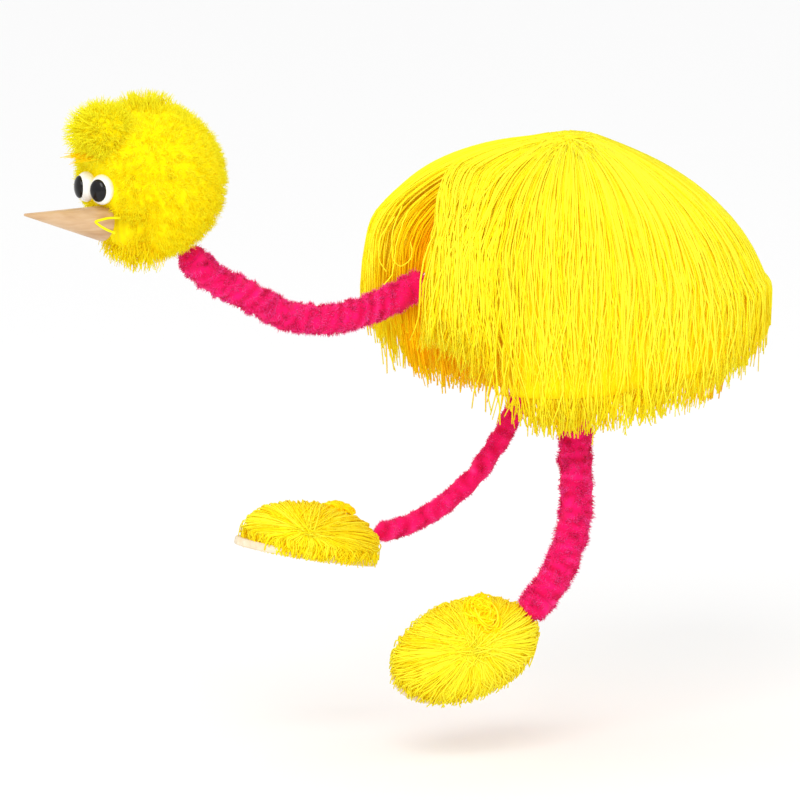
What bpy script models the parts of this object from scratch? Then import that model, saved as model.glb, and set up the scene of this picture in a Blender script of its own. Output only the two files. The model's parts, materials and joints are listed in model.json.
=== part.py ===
"""A string puppet of a long-necked bird, posed in mid-stride.

The body is a foam core under a mop of yarn, the head and feet are yarn pompoms on wood, and
the neck and legs are plush tubes over a cord. Metres, +Z up. The bird faces -X and its left
side is -Y. The strings and their control bar are not modelled: four buttons mark where the
strings tie on. Every place below is measured from the middle of the body core, and place() moves
it so that the origin is the top of the back button, which the puppet hangs from.
"""

from math import asin, cos, pi, radians, sin, sqrt

import bmesh
import bpy
from mathutils import Matrix, Vector

# Body core: an egg of foam with a flat base.
CORE_SEMI_AXES = (0.072, 0.058, 0.064)
CORE_BASE_HEIGHT = -0.042
CORD_BORE_RADIUS = 0.0022
HANGER_CORD_RADIUS = 0.0016
HANGER_KNOT_RADIUS = 0.0034
WASHER_RADIUS = 0.009
WASHER_THICKNESS = 0.002

# Yarn mop: a thick skirt hung over the core from a small opening at the top.
MOP_SEMI_AXES = (0.103, 0.083, 0.077)
MOP_CORE_GAP = 0.0013
MOP_OPENING = 0.04
MOP_TUCK = 0.06
MOP_LEAN = 0.17
MOP_LEAN_START = 0.012
MOP_LEAN_HEIGHT = 0.020
MOP_COLUMNS = 48
MOP_ROWS = 8
MOP_LINING_ROWS = 7
TAIL_HEM = -0.022
TAIL_HEM_FALL = 3.2
SIDE_HEM = -0.056
FRONT_HEM = -0.022
FRONT_HEM_FALL = 2.4
PARTING_HEIGHT = 0.034
PARTING_START = 167.0
PARTING_END = 207.0
PARTING_REACH = (0.050, 0.130)

# Neck and legs: chains of plush segments. Slopes are degrees in the pose the puppet stands in.
NECK_ROOT = (-0.0775, 0.0, 0.0115)
NECK_SEGMENT = 0.0262
NECK_SLOPES = (-23.0, -13.0, 5.5, 27.5, 29.5, 46.5)
NECK_RADIUS = 0.0086
HIP_FORWARD = -0.010
HIP_SPREAD = 0.028
HIP_HEIGHT = -0.0475
LEG_SEGMENT = 0.0306
LEFT_LEG_SLOPES = (-90.0, -90.0, -71.0, -49.0)
RIGHT_LEG_SLOPES = (-64.0, -51.0, -32.0, -14.0)
LEG_RADIUS = 0.0084
SEGMENT_GAP = 0.0012
EYELET_GAP = 0.0055
CORD_RADIUS = 0.0015
SEGMENT_BORE = 0.0020

# Screw eyes and the cord knots that hang in them.
EYELET_RADIUS = 0.0036
EYELET_WIRE = 0.0008
SHANK_RADIUS = 0.0010
SHANK_BORE = 0.0013
SHANK_LENGTH = 0.0150
KNOT_RADIUS = 0.0022

# Head: an egg of wood inside a yarn ball. Places are in the head's own frame, face to -X.
HEAD_FROM_NECK = (-0.0157, 0.0, 0.0308)
HEAD_TURN = 15.0
BALL_RADIUS = 0.040
TUFT_CENTRE = (-0.0270, 0.0, 0.0265)
TUFT_RADIUS = 0.0145
HEAD_CORE_CENTRE = (0.0, 0.0, -0.008)
HEAD_CORE_SEMI_AXES = (0.020, 0.018, 0.024)
HEAD_CORE_GAP = 0.0012
HEAD_EYELET_SLOPE = 55.0
NECK_FUNNEL = (0.0105, 0.0250, 0.0300)
NECK_FUNNEL_TOP = 0.009
EYE_CENTRE = (-0.0328, 0.0066, -0.0006)
EYE_SEMI_AXES = (0.0050, 0.0062, 0.0076)
EYE_SPLAY = 12.0
EYE_PEG_RADIUS = 0.0015
EYE_PEG_ENDS = (0.003, 0.0135)
PUPIL_CENTRE = -0.0036
PUPIL_SEMI_AXES = (0.0024, 0.0042, 0.0056)
EYE_POCKET_CENTRE = (-0.0373, 0.0, -0.0006)
EYE_POCKET_SEMI_AXES = (0.0130, 0.0170, 0.0118)
BEAK_BASE = (-0.0270, 0.0, -0.0190)
BEAK_LENGTH = 0.0517
BEAK_RISE = 11.0
BEAK_RADIUS = 0.0089
BEAK_TIP_RADIUS = 0.0007
BEAK_GAP = 0.0006
DOWEL_RADIUS = 0.003
DOWEL_LENGTH = 0.020
DOWEL_OVERLAP = 0.0015

# Feet: a wooden sole under a flat yarn pompom, in a frame at the ankle with the toe to -X.
SOLE_TOE = -0.071
SOLE_HEEL = 0.007
SOLE_HALF_WIDTH = 0.0215
SOLE_TOP = -0.0095
SOLE_THICKNESS = 0.004
SOLE_TAPER = 0.14
SOLE_EDGE = 0.0007
SOLE_SKIN = 0.001
FOOT_YARN_CENTRE = (-0.030, 0.0, -0.001)
FOOT_YARN_SEMI_AXES = (0.036, 0.0215, 0.0125)
FOOT_YARN_BACK = -0.011
LEFT_FOOT_PITCH = -17.0
LEFT_FOOT_ROLL = 48.0
RIGHT_FOOT_PITCH = 12.0
RIGHT_FOOT_ROLL = 0.0

# Buttons that the strings tie to: (radius, thickness).
BACK_BUTTON = (0.0065, 0.0022)
SMALL_BUTTON = (0.0042, 0.0018)
BUTTON_HOLE_RADIUS = 0.0008
BUTTON_HOLE_SPACING = 0.0046
BUTTON_RIM_SHARE = 0.25
POST_RADIUS = 0.0012
POST_BORE = 0.0017
FOOT_BUTTON_PLACE = (-0.019, 0.0, 0.0116)
HEAD_BUTTON_HEIGHT = 0.0405

SMALL_GAP = 0.0003
SIDES = 16
BACK_BUTTON_TOP = MOP_SEMI_AXES[2] + 2 * SMALL_GAP + BACK_BUTTON[1]


def clear_scene():
    for obj in list(bpy.data.objects):
        bpy.data.objects.remove(obj, do_unlink=True)


def make_material(name, colour, roughness, metallic=0.0):
    material = bpy.data.materials.new(name)
    material.use_nodes = True
    shader = material.node_tree.nodes["Principled BSDF"]
    shader.inputs["Base Color"].default_value = (*colour, 1.0)
    shader.inputs["Roughness"].default_value = roughness
    shader.inputs["Metallic"].default_value = metallic
    material.diffuse_color = (*colour, 1.0)
    return material


def make_materials():
    """Every finish in the puppet, by name."""
    finishes = {
        "yellow_yarn": ((0.93, 0.80, 0.02), 0.95),
        "yellow_button": ((0.90, 0.72, 0.02), 0.40),
        "pink_plush": ((0.80, 0.02, 0.16), 0.95),
        "white_cord": ((0.85, 0.83, 0.78), 0.90),
        "foam": ((0.92, 0.91, 0.88), 0.85),
        "beak_wood": ((0.82, 0.58, 0.36), 0.50),
        "pale_wood": ((0.86, 0.76, 0.60), 0.55),
        "eye_white": ((0.90, 0.90, 0.90), 0.20),
        "eye_black": ((0.01, 0.01, 0.01), 0.08),
    }
    materials = {name: make_material(name, *finish) for name, finish in finishes.items()}
    materials["wire"] = make_material("wire", (0.62, 0.62, 0.64), 0.30, metallic=1.0)
    return materials


def place(obj, world, parent=None):
    """Links an object and puts it where the matrix says, seen from the middle of the core."""
    bpy.context.scene.collection.objects.link(obj)
    obj.parent = parent
    bpy.context.view_layer.update()
    obj.matrix_world = at(0, 0, -BACK_BUTTON_TOP) @ world
    return obj


def make_pivot(name, world, parent=None):
    """An empty on a joint. Whatever moves with the joint is parented to it."""
    pivot = bpy.data.objects.new(name, None)
    pivot.empty_display_size = 0.01
    return place(pivot, world, parent)


def make_piece(name, bm, material, world, parent=None, sharp=40.0):
    """Turns a bmesh into a smooth-shaded object with creases sharper than the angle given."""
    bmesh.ops.recalc_face_normals(bm, faces=bm.faces)
    mesh = bpy.data.meshes.new(name)
    bm.to_mesh(mesh)
    bm.free()
    mesh.shade_smooth()
    mesh.set_sharp_from_angle(angle=radians(sharp))
    if material:
        mesh.materials.append(material)
    return place(bpy.data.objects.new(name, mesh), world, parent)


def make_cutter(name, bm, world, parent=None):
    cutter = make_piece(name, bm, None, world, parent)
    cutter.hide_render = True
    cutter.display_type = "WIRE"
    return cutter


def combine(obj, other, operation):
    """Adds a Boolean modifier that cuts the other object from this one, or joins it on."""
    modifier = obj.modifiers.new(other.name, "BOOLEAN")
    modifier.object = other
    modifier.operation = operation


def at(x, y, z):
    return Matrix.Translation((x, y, z))


def turn(degrees, axis):
    return Matrix.Rotation(radians(degrees), 4, axis)


def stretched(semi_axes):
    return Matrix.Diagonal((*semi_axes, 1.0))


def turned(profile, sides=SIDES, loop=False):
    """Spins a half outline of (radius, height) points about Z. A loop joins its two ends."""
    bm = bmesh.new()
    points = [bm.verts.new((radius, 0.0, height)) for radius, height in profile]
    edges = [bm.edges.new(pair) for pair in zip(points, points[1:])]
    if loop:
        edges.append(bm.edges.new((points[-1], points[0])))
    bmesh.ops.spin(
        bm, geom=points + edges, axis=(0, 0, 1), cent=(0, 0, 0), angle=2 * pi, steps=sides,
        use_merge=True,
    )
    bmesh.ops.remove_doubles(bm, verts=bm.verts, dist=1e-6)
    return bm


def rod(radius, bottom, top, sides=SIDES):
    return turned(((0.0, bottom), (radius, bottom), (radius, top), (0.0, top)), sides)


def ellipsoid(semi_axes, columns=SIDES, rows=10):
    bm = bmesh.new()
    bmesh.ops.create_uvsphere(bm, u_segments=columns, v_segments=rows, radius=1.0)
    bmesh.ops.transform(bm, matrix=stretched(semi_axes), verts=bm.verts)
    return bm


def cut_flat(bm, point, normal):
    """Removes what lies on the normal's side of a plane, and closes the cut with a flat face."""
    geometry = bm.verts[:] + bm.edges[:] + bm.faces[:]
    cut = bmesh.ops.bisect_plane(
        bm, geom=geometry, plane_co=point, plane_no=normal, clear_outer=True, dist=1e-7,
    )
    rim = [part for part in cut["geom_cut"] if isinstance(part, bmesh.types.BMEdge)]
    bmesh.ops.contextual_create(bm, geom=rim)


def chain_frames(root, length, slopes):
    """World matrices at each joint of a chain, +Z along the segment, and one at the far end."""
    position = Vector(root)
    frames = []
    for slope in slopes:
        heading = turn(slope - 90.0, "Y")
        frames.append(at(*position) @ heading)
        position = position + heading.to_3x3() @ Vector((0.0, 0.0, length))
    frames.append(at(*position))
    return frames


def sleeve_profile(radius, start, end, nose_steps=3):
    """Loop outline of a bored plush segment with a round nose at each end."""
    first = asin(SEGMENT_BORE / radius)
    angles = [first + (pi / 2 - first) * step / nose_steps for step in range(nose_steps + 1)]
    lower = [(radius * sin(a), start + radius - radius * cos(a)) for a in angles]
    upper = [(radius * sin(a), end - radius + radius * cos(a)) for a in reversed(angles)]
    return lower + upper


def make_segment(label, radius, length, gaps, frame, parent, materials):
    """One plush segment and the length of cord inside it."""
    start, end = gaps[0], length - gaps[1]
    sleeve = turned(sleeve_profile(radius, start, end), 12, loop=True)
    make_piece(f"{label}_plush", sleeve, materials["pink_plush"], frame, parent)
    cord = rod(CORD_RADIUS, start, end, 8)
    make_piece(f"{label}_cord", cord, materials["white_cord"], frame, parent)


def make_chain(label, root, radius, length, slopes, parent, materials):
    """A knot in the root eyelet, then one pivot and segment for each slope. Returns the tip."""
    frames = chain_frames(root, length, slopes)
    pivot = make_pivot(f"{label}_root_pivot", at(*root), parent)
    make_knot(f"{label}_root_knot", at(*root), pivot, materials)
    for index, frame in enumerate(frames[:-1]):
        first = index == 0
        last = index == len(slopes) - 1
        gaps = (EYELET_GAP if first else SEGMENT_GAP, EYELET_GAP if last else SEGMENT_GAP)
        number = index + 1
        pivot = make_pivot(f"{label}_pivot_{number}", frame, pivot)
        make_segment(f"{label}_{number}", radius, length, gaps, frame, pivot, materials)
    return pivot, frames[-1]


def make_knot(name, world, parent, materials, radius=KNOT_RADIUS):
    bm = bmesh.new()
    bmesh.ops.create_icosphere(bm, subdivisions=2, radius=radius)
    make_piece(name, bm, materials["white_cord"], world, parent, sharp=180.0)


def make_eyelet(name, world, parent, materials, shank_length=SHANK_LENGTH):
    """A screw eye. Its ring is centred on the frame's origin and its shank runs up +Z."""
    ring = bmesh.new()
    bmesh.ops.create_circle(ring, cap_ends=False, radius=EYELET_WIRE, segments=6)
    upright = at(EYELET_RADIUS, 0, 0) @ turn(90, "X")
    bmesh.ops.transform(ring, matrix=upright, verts=ring.verts)
    bmesh.ops.spin(
        ring, geom=ring.verts[:] + ring.edges[:], axis=(0, 0, 1), cent=(0, 0, 0),
        angle=2 * pi, steps=12, use_merge=True,
    )
    bmesh.ops.remove_doubles(ring, verts=ring.verts, dist=1e-6)
    bmesh.ops.transform(ring, matrix=turn(90, "X"), verts=ring.verts)
    eyelet = make_piece(name, ring, materials["wire"], world, parent)
    shank = rod(SHANK_RADIUS, EYELET_RADIUS, shank_length, 8)
    combine(eyelet, make_cutter(f"{name}_shank_shape", shank, world, parent), "UNION")


def bore(obj, label, radius, bottom, top, world, parent=None, sides=12):
    """Cuts a round hole along the Z axis of the frame given."""
    cutter = make_cutter(f"{label}_cutter", rod(radius, bottom, top, sides), world, parent)
    combine(obj, cutter, "DIFFERENCE")


def make_button(name, size, world, parent, material, post_length=0.0):
    """A two-hole button with its top on the frame's origin, on a post where one is asked for."""
    radius, thickness = size
    rim = thickness * BUTTON_RIM_SHARE
    profile = [(0.0, -thickness), (radius - rim, -thickness), (radius, -thickness + rim)]
    profile += [(radius, -rim), (radius - rim, 0.0), (0.0, 0.0)]
    button = make_piece(name, turned(profile), material, world, parent, sharp=30.0)
    if post_length:
        post = rod(POST_RADIUS, -post_length, -thickness / 2, 8)
        combine(button, make_cutter(f"{name}_post_shape", post, world, parent), "UNION")
    for number, side in enumerate((-1, 1), start=1):
        hole = world @ at(0, side * BUTTON_HOLE_SPACING / 2, 0)
        reach = 2 * thickness
        bore(button, f"{name}_hole_{number}", BUTTON_HOLE_RADIUS, -reach, reach, hole, parent, 8)


def hip_place(side):
    return (HIP_FORWARD, side * HIP_SPREAD, HIP_HEIGHT)


def neck_eyelet_frame():
    """The neck's screw eye runs back into the core, level."""
    return at(*NECK_ROOT) @ turn(90, "Y")


def make_body_core(parent, materials):
    bm = ellipsoid(CORE_SEMI_AXES, 28, 14)
    cut_flat(bm, (0, 0, CORE_BASE_HEIGHT), (0, 0, -1))
    core = make_piece("body_core", bm, materials["foam"], Matrix.Identity(4), parent)
    tall = 2 * CORE_SEMI_AXES[2]
    bore(core, "hanger_bore", CORD_BORE_RADIUS, -tall, tall, Matrix.Identity(4), parent)
    deep = SHANK_LENGTH + SMALL_GAP
    bore(core, "neck_shank_bore", SHANK_BORE, 0.0, deep, neck_eyelet_frame(), parent)
    bore(core, "left_shank_bore", SHANK_BORE, 0.0, deep, at(*hip_place(-1)), parent)
    bore(core, "right_shank_bore", SHANK_BORE, 0.0, deep, at(*hip_place(1)), parent)


def hem_height(degrees):
    """How low the yarn hangs at this bearing: 0 is the tail, 180 the front, 270 the left."""
    across = abs(sin(radians(degrees)))
    if cos(radians(degrees)) > 0:
        return TAIL_HEM + (SIDE_HEM - TAIL_HEM) * across**TAIL_HEM_FALL
    return FRONT_HEM + (SIDE_HEM - FRONT_HEM) * across**FRONT_HEM_FALL


def mop_point(semi_axes, degrees, height):
    """A point of a dome above the equator, and of a slightly tucked skirt below it."""
    wide, deep, tall = semi_axes
    if height > 0:
        share = sqrt(max(0.0, 1 - (height / tall) ** 2))
    else:
        share = 1 - MOP_TUCK * (height / SIDE_HEM) ** 2
    angle = radians(degrees)
    return (wide * share * cos(angle), deep * share * sin(angle), height)


def leaned(point):
    """The outside's shoulder is higher towards the neck and lower towards the tail."""
    x, y, z = point
    reach = max(0.0, abs(x) - MOP_LEAN_START) * min(1.0, max(0.0, z) / MOP_LEAN_HEIGHT)
    return (x, y, z - MOP_LEAN * reach * (1 if x > 0 else -1))


def mop_column(degrees):
    """One closed slice through the mop's wall: up the outside, then down the lining."""
    hem = hem_height(degrees)
    lining = tuple(axis + MOP_CORE_GAP for axis in CORE_SEMI_AXES)
    points = []
    for semi_axes, rows, upward in (
        (MOP_SEMI_AXES, MOP_ROWS, True),
        (lining, MOP_LINING_ROWS, False),
    ):
        crown = semi_axes[2] * sqrt(1 - MOP_OPENING**2)
        for row in range(rows + 1):
            climb = row / rows if upward else 1 - row / rows
            height = hem + (crown - hem) * sin(climb * pi / 2)
            point = mop_point(semi_axes, degrees, height)
            points.append(leaned(point) if upward else point)
    return points


def parting_wedge():
    """The gap the neck comes out of, from below the hem up to the parting's top."""
    bm = bmesh.new()
    inner, outer = PARTING_REACH
    corners = [(inner, PARTING_START), (outer, PARTING_START)]
    corners += [(outer, PARTING_END), (inner, PARTING_END)]
    rim = [
        bm.verts.new((reach * cos(radians(angle)), reach * sin(radians(angle)), 2 * SIDE_HEM))
        for reach, angle in corners
    ]
    raised = bmesh.ops.extrude_face_region(bm, geom=[bm.faces.new(rim)])
    lifted = [part for part in raised["geom"] if isinstance(part, bmesh.types.BMVert)]
    bmesh.ops.translate(bm, vec=(0, 0, PARTING_HEIGHT - 2 * SIDE_HEM), verts=lifted)
    return bm


def make_body_mop(parent, materials):
    bm = bmesh.new()
    step = 360.0 / MOP_COLUMNS
    columns = [
        [bm.verts.new(point) for point in mop_column(step * index)]
        for index in range(MOP_COLUMNS)
    ]
    for index, column in enumerate(columns):
        beside = columns[(index + 1) % MOP_COLUMNS]
        for row in range(len(column)):
            above = (row + 1) % len(column)
            bm.faces.new((column[row], beside[row], beside[above], column[above]))
    home = Matrix.Identity(4)
    mop = make_piece("body_yarn_mop", bm, materials["yellow_yarn"], home, parent, 60.0)
    combine(mop, make_cutter("parting_cutter", parting_wedge(), home, parent), "DIFFERENCE")


def make_hanger(parent, materials):
    """The cord through the core, with the back button above it and a knotted washer below."""
    home = Matrix.Identity(4)
    make_button("back_button", BACK_BUTTON, at(0, 0, BACK_BUTTON_TOP), parent,
                materials["yellow_button"])
    washer_top = CORE_BASE_HEIGHT - SMALL_GAP
    washer_bottom = washer_top - WASHER_THICKNESS
    cord_top = BACK_BUTTON_TOP - BACK_BUTTON[1] - SMALL_GAP
    cord = rod(HANGER_CORD_RADIUS, washer_bottom, cord_top, 8)
    make_piece("hanger_cord", cord, materials["white_cord"], home, parent)
    outline = [(CORD_BORE_RADIUS, washer_bottom), (WASHER_RADIUS, washer_bottom)]
    outline += [(WASHER_RADIUS, washer_top), (CORD_BORE_RADIUS, washer_top)]
    washer = turned(outline, 20, loop=True)
    make_piece("belly_washer", washer, materials["pale_wood"], home, parent)
    below = at(0, 0, washer_bottom - SMALL_GAP - HANGER_KNOT_RADIUS)
    make_knot("hanger_knot", below, parent, materials, HANGER_KNOT_RADIUS)


def make_body(materials):
    body = make_pivot("body_frame", Matrix.Identity(4))
    make_body_core(body, materials)
    make_body_mop(body, materials)
    make_hanger(body, materials)
    make_eyelet("neck_eyelet", neck_eyelet_frame(), body, materials)
    make_eyelet("left_hip_eyelet", at(*hip_place(-1)), body, materials)
    make_eyelet("right_hip_eyelet", at(*hip_place(1)), body, materials)
    return body


def beak_frame(head):
    """+Z runs from the middle of the beak's base to its tip."""
    return head @ at(*BEAK_BASE) @ turn(BEAK_RISE - 90.0, "Y")


def eye_frame(head, side):
    x, y, z = EYE_CENTRE
    return head @ at(x, side * y, z) @ turn(-side * EYE_SPLAY, "Z")


def make_head_core(head, parent, pivot_frame, materials):
    centre = head @ at(*HEAD_CORE_CENTRE)
    core = make_piece("head_core", ellipsoid(HEAD_CORE_SEMI_AXES, 20, 10),
                      materials["pale_wood"], centre, parent)
    bore(core, "dowel_bore", DOWEL_RADIUS + SMALL_GAP, -DOWEL_LENGTH - SMALL_GAP, 0.0,
         beak_frame(head), parent)
    bore(core, "head_shank_bore", SHANK_BORE, 0.0, SHANK_LENGTH + SMALL_GAP, pivot_frame,
         parent, 8)


def make_head_yarn(head, parent, pivot_frame, materials):
    """The yarn ball with its forelock, cleared for the core, neck, eyes, beak and string post."""
    ball = make_piece("head_pompom", ellipsoid((BALL_RADIUS,) * 3, 24, 14),
                      materials["yellow_yarn"], head, parent, sharp=60.0)
    tuft = make_cutter("forelock_shape", ellipsoid((TUFT_RADIUS,) * 3, 12, 8),
                       head @ at(*TUFT_CENTRE), parent)
    combine(ball, tuft, "UNION")
    hollow = tuple(axis + HEAD_CORE_GAP for axis in HEAD_CORE_SEMI_AXES)
    inside = make_cutter("head_core_cutter", ellipsoid(hollow, 20, 10),
                         head @ at(*HEAD_CORE_CENTRE), parent)
    combine(ball, inside, "DIFFERENCE")
    narrow, wide, reach = NECK_FUNNEL
    top = NECK_FUNNEL_TOP
    profile = ((0.0, top), (narrow, top), (wide, -reach), (0.0, -reach))
    funnel = make_cutter("neck_funnel_cutter", turned(profile, 16), pivot_frame, parent)
    combine(ball, funnel, "DIFFERENCE")
    pocket = make_cutter("eye_pocket_cutter", ellipsoid(EYE_POCKET_SEMI_AXES, 16, 10),
                         head @ at(*EYE_POCKET_CENTRE), parent)
    combine(ball, pocket, "DIFFERENCE")
    for label, side in (("left", -1), ("right", 1)):
        peg = eye_frame(head, side) @ turn(90, "Y")
        bore(ball, f"{label}_eye_peg_bore", EYE_PEG_RADIUS + SMALL_GAP, 0.0, BALL_RADIUS / 2, peg,
             parent, 8)
    make_beak_clearance(ball, head, parent)
    bore(ball, "head_post_bore", POST_BORE, 0.0, 1.5 * BALL_RADIUS, head, parent, 8)


def make_beak_clearance(ball, head, parent):
    profile = beak_profile(BEAK_GAP)
    cutter = make_cutter("beak_cutter", turned(profile, 20), beak_frame(head), parent)
    combine(ball, cutter, "DIFFERENCE")
    bore(ball, "dowel_clearance", DOWEL_RADIUS + SMALL_GAP, -DOWEL_LENGTH, DOWEL_OVERLAP,
         beak_frame(head), parent)


def beak_profile(extra):
    """The cone's half outline, grown all round by the extra given."""
    base = BEAK_RADIUS + extra
    tip = BEAK_TIP_RADIUS + extra
    top = BEAK_LENGTH + extra
    return ((0.0, -extra), (base, -extra), (tip, top - tip), (tip * 0.7, top - tip * 0.3),
            (0.0, top))


def make_beak(head, parent, materials):
    frame = beak_frame(head)
    beak = make_piece("beak", turned(beak_profile(0.0), 24), materials["beak_wood"], frame,
                      parent)
    dowel = rod(DOWEL_RADIUS, -DOWEL_LENGTH, DOWEL_OVERLAP, 12)
    combine(beak, make_cutter("beak_dowel_shape", dowel, frame, parent), "UNION")


def make_eye(label, head, side, parent, materials):
    """A white dome on a peg, with a pupil let into its front."""
    frame = eye_frame(head, side)
    white = make_piece(f"{label}_eye_white", ellipsoid(EYE_SEMI_AXES, 16, 10),
                       materials["eye_white"], frame, parent)
    peg = make_cutter(f"{label}_eye_peg_shape", rod(EYE_PEG_RADIUS, *EYE_PEG_ENDS, 8),
                      frame @ turn(90, "Y"), parent)
    combine(white, peg, "UNION")
    front = frame @ at(PUPIL_CENTRE, 0, 0)
    socket_axes = tuple(axis + SMALL_GAP for axis in PUPIL_SEMI_AXES)
    socket = make_cutter(f"{label}_pupil_socket", ellipsoid(socket_axes, 14, 8), front, parent)
    combine(white, socket, "DIFFERENCE")
    make_piece(f"{label}_pupil", ellipsoid(PUPIL_SEMI_AXES, 14, 8), materials["eye_black"],
               front, parent)


def make_head(neck_pivot, neck_end, materials):
    """The head turns on a knot at the neck's end, and nods on the eyelet that holds it."""
    turn_pivot = make_pivot("head_turn_pivot", neck_end, neck_pivot)
    make_knot("head_knot", neck_end, turn_pivot, materials)
    nod_pivot = make_pivot("head_nod_pivot", neck_end, turn_pivot)
    pivot_frame = neck_end @ turn(HEAD_EYELET_SLOPE - 90.0, "Y")
    head = neck_end @ at(*HEAD_FROM_NECK) @ turn(HEAD_TURN, "Z")
    make_head_core(head, nod_pivot, pivot_frame, materials)
    make_head_yarn(head, nod_pivot, pivot_frame, materials)
    make_eyelet("head_eyelet", pivot_frame, nod_pivot, materials)
    make_beak(head, nod_pivot, materials)
    make_eye("left", head, -1, nod_pivot, materials)
    make_eye("right", head, 1, nod_pivot, materials)
    button_top = HEAD_BUTTON_HEIGHT + SMALL_BUTTON[1]
    core_top = HEAD_CORE_CENTRE[2] + HEAD_CORE_SEMI_AXES[2]
    make_button("head_string_button", SMALL_BUTTON, head @ at(0, 0, button_top), nod_pivot,
                materials["yellow_button"], button_top - core_top - SMALL_GAP)


def sole_outline(steps=30):
    """An egg-shaped outline, broader at the toe."""
    middle = (SOLE_TOE + SOLE_HEEL) / 2
    half_length = (SOLE_HEEL - SOLE_TOE) / 2
    points = []
    for step in range(steps):
        angle = 2 * pi * step / steps
        along = middle + half_length * cos(angle)
        taper = 1 - SOLE_TAPER * cos(angle)
        points.append((along, SOLE_HALF_WIDTH * sin(angle) * taper))
    return points


def make_sole(label, ankle, parent, materials):
    bm = bmesh.new()
    bottom = SOLE_TOP - SOLE_THICKNESS
    rim = [bm.verts.new((x, y, bottom)) for x, y in sole_outline()]
    face = bm.faces.new(rim)
    raised = bmesh.ops.extrude_face_region(bm, geom=[face])
    lifted = [part for part in raised["geom"] if isinstance(part, bmesh.types.BMVert)]
    bmesh.ops.translate(bm, vec=(0, 0, SOLE_THICKNESS), verts=lifted)
    sole = make_piece(f"{label}_sole", bm, materials["pale_wood"], ankle, parent)
    rounding = sole.modifiers.new("rounded_edge", "BEVEL")
    rounding.width = SOLE_EDGE
    rounding.segments = 1
    deep = SOLE_THICKNESS - SOLE_SKIN
    bore(sole, f"{label}_heel_shank_bore", SHANK_BORE, SOLE_TOP - deep, 0.0, ankle, parent, 8)


def make_foot_yarn(label, ankle, parent, materials):
    """A flat pompom that rests on the sole and stops short of the ankle."""
    bm = ellipsoid(FOOT_YARN_SEMI_AXES, 20, 12)
    bmesh.ops.translate(bm, vec=FOOT_YARN_CENTRE, verts=bm.verts)
    cut_flat(bm, (0, 0, SOLE_TOP + SMALL_GAP), (0, 0, -1))
    cut_flat(bm, (FOOT_YARN_BACK, 0, 0), (1, 0, 0))
    yarn = make_piece(f"{label}_foot_pompom", bm, materials["yellow_yarn"], ankle, parent)
    x, y, z = FOOT_BUTTON_PLACE
    bore(yarn, f"{label}_foot_post_bore", POST_BORE, SOLE_TOP, z, ankle @ at(x, y, 0), parent, 8)


def make_foot(label, leg_pivot, leg_end, pitch, roll, materials):
    """The foot tips on a knot at the leg's end, and rolls on the eyelet that holds it."""
    tip_pivot = make_pivot(f"{label}_ankle_pivot", leg_end, leg_pivot)
    make_knot(f"{label}_ankle_knot", leg_end, tip_pivot, materials)
    ankle = leg_end @ turn(pitch, "Y") @ turn(roll, "X")
    roll_pivot = make_pivot(f"{label}_foot_pivot", ankle, tip_pivot)
    make_sole(label, ankle, roll_pivot, materials)
    make_foot_yarn(label, ankle, roll_pivot, materials)
    shank = -SOLE_TOP + SOLE_THICKNESS - SOLE_SKIN - SMALL_GAP
    make_eyelet(f"{label}_heel_eyelet", ankle @ turn(180, "X"), roll_pivot, materials, shank)
    x, y, z = FOOT_BUTTON_PLACE
    button_top = z + SMALL_BUTTON[1]
    post = button_top - SOLE_TOP - SMALL_GAP
    make_button(f"{label}_foot_button", SMALL_BUTTON, ankle @ at(x, y, button_top), roll_pivot,
                materials["yellow_button"], post)


def make_neck_and_head(body, materials):
    pivot, end = make_chain("neck", NECK_ROOT, NECK_RADIUS, NECK_SEGMENT, NECK_SLOPES, body,
                            materials)
    make_head(pivot, end, materials)


def make_leg(label, side, slopes, pitch, roll, body, materials):
    pivot, end = make_chain(f"{label}_leg", hip_place(side), LEG_RADIUS, LEG_SEGMENT, slopes,
                            body, materials)
    make_foot(label, pivot, end, pitch, roll, materials)


def main():
    clear_scene()
    materials = make_materials()
    body = make_body(materials)
    make_neck_and_head(body, materials)
    make_leg("left", -1, LEFT_LEG_SLOPES, LEFT_FOOT_PITCH, LEFT_FOOT_ROLL, body, materials)
    make_leg("right", 1, RIGHT_LEG_SLOPES, RIGHT_FOOT_PITCH, RIGHT_FOOT_ROLL, body, materials)


main()
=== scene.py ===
"""The look of a long-necked bird string puppet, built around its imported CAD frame.

Yarn and plush are real strands and fibres over a padded shape, wood and plastic are turned
meshes, and every material is procedural. Metres, +Z up; the bird faces -X and its left is -Y.
"""

import json
from math import cos, pi, radians, sin, tau

import bpy
import numpy as np
from mathutils import Matrix, Vector


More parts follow.
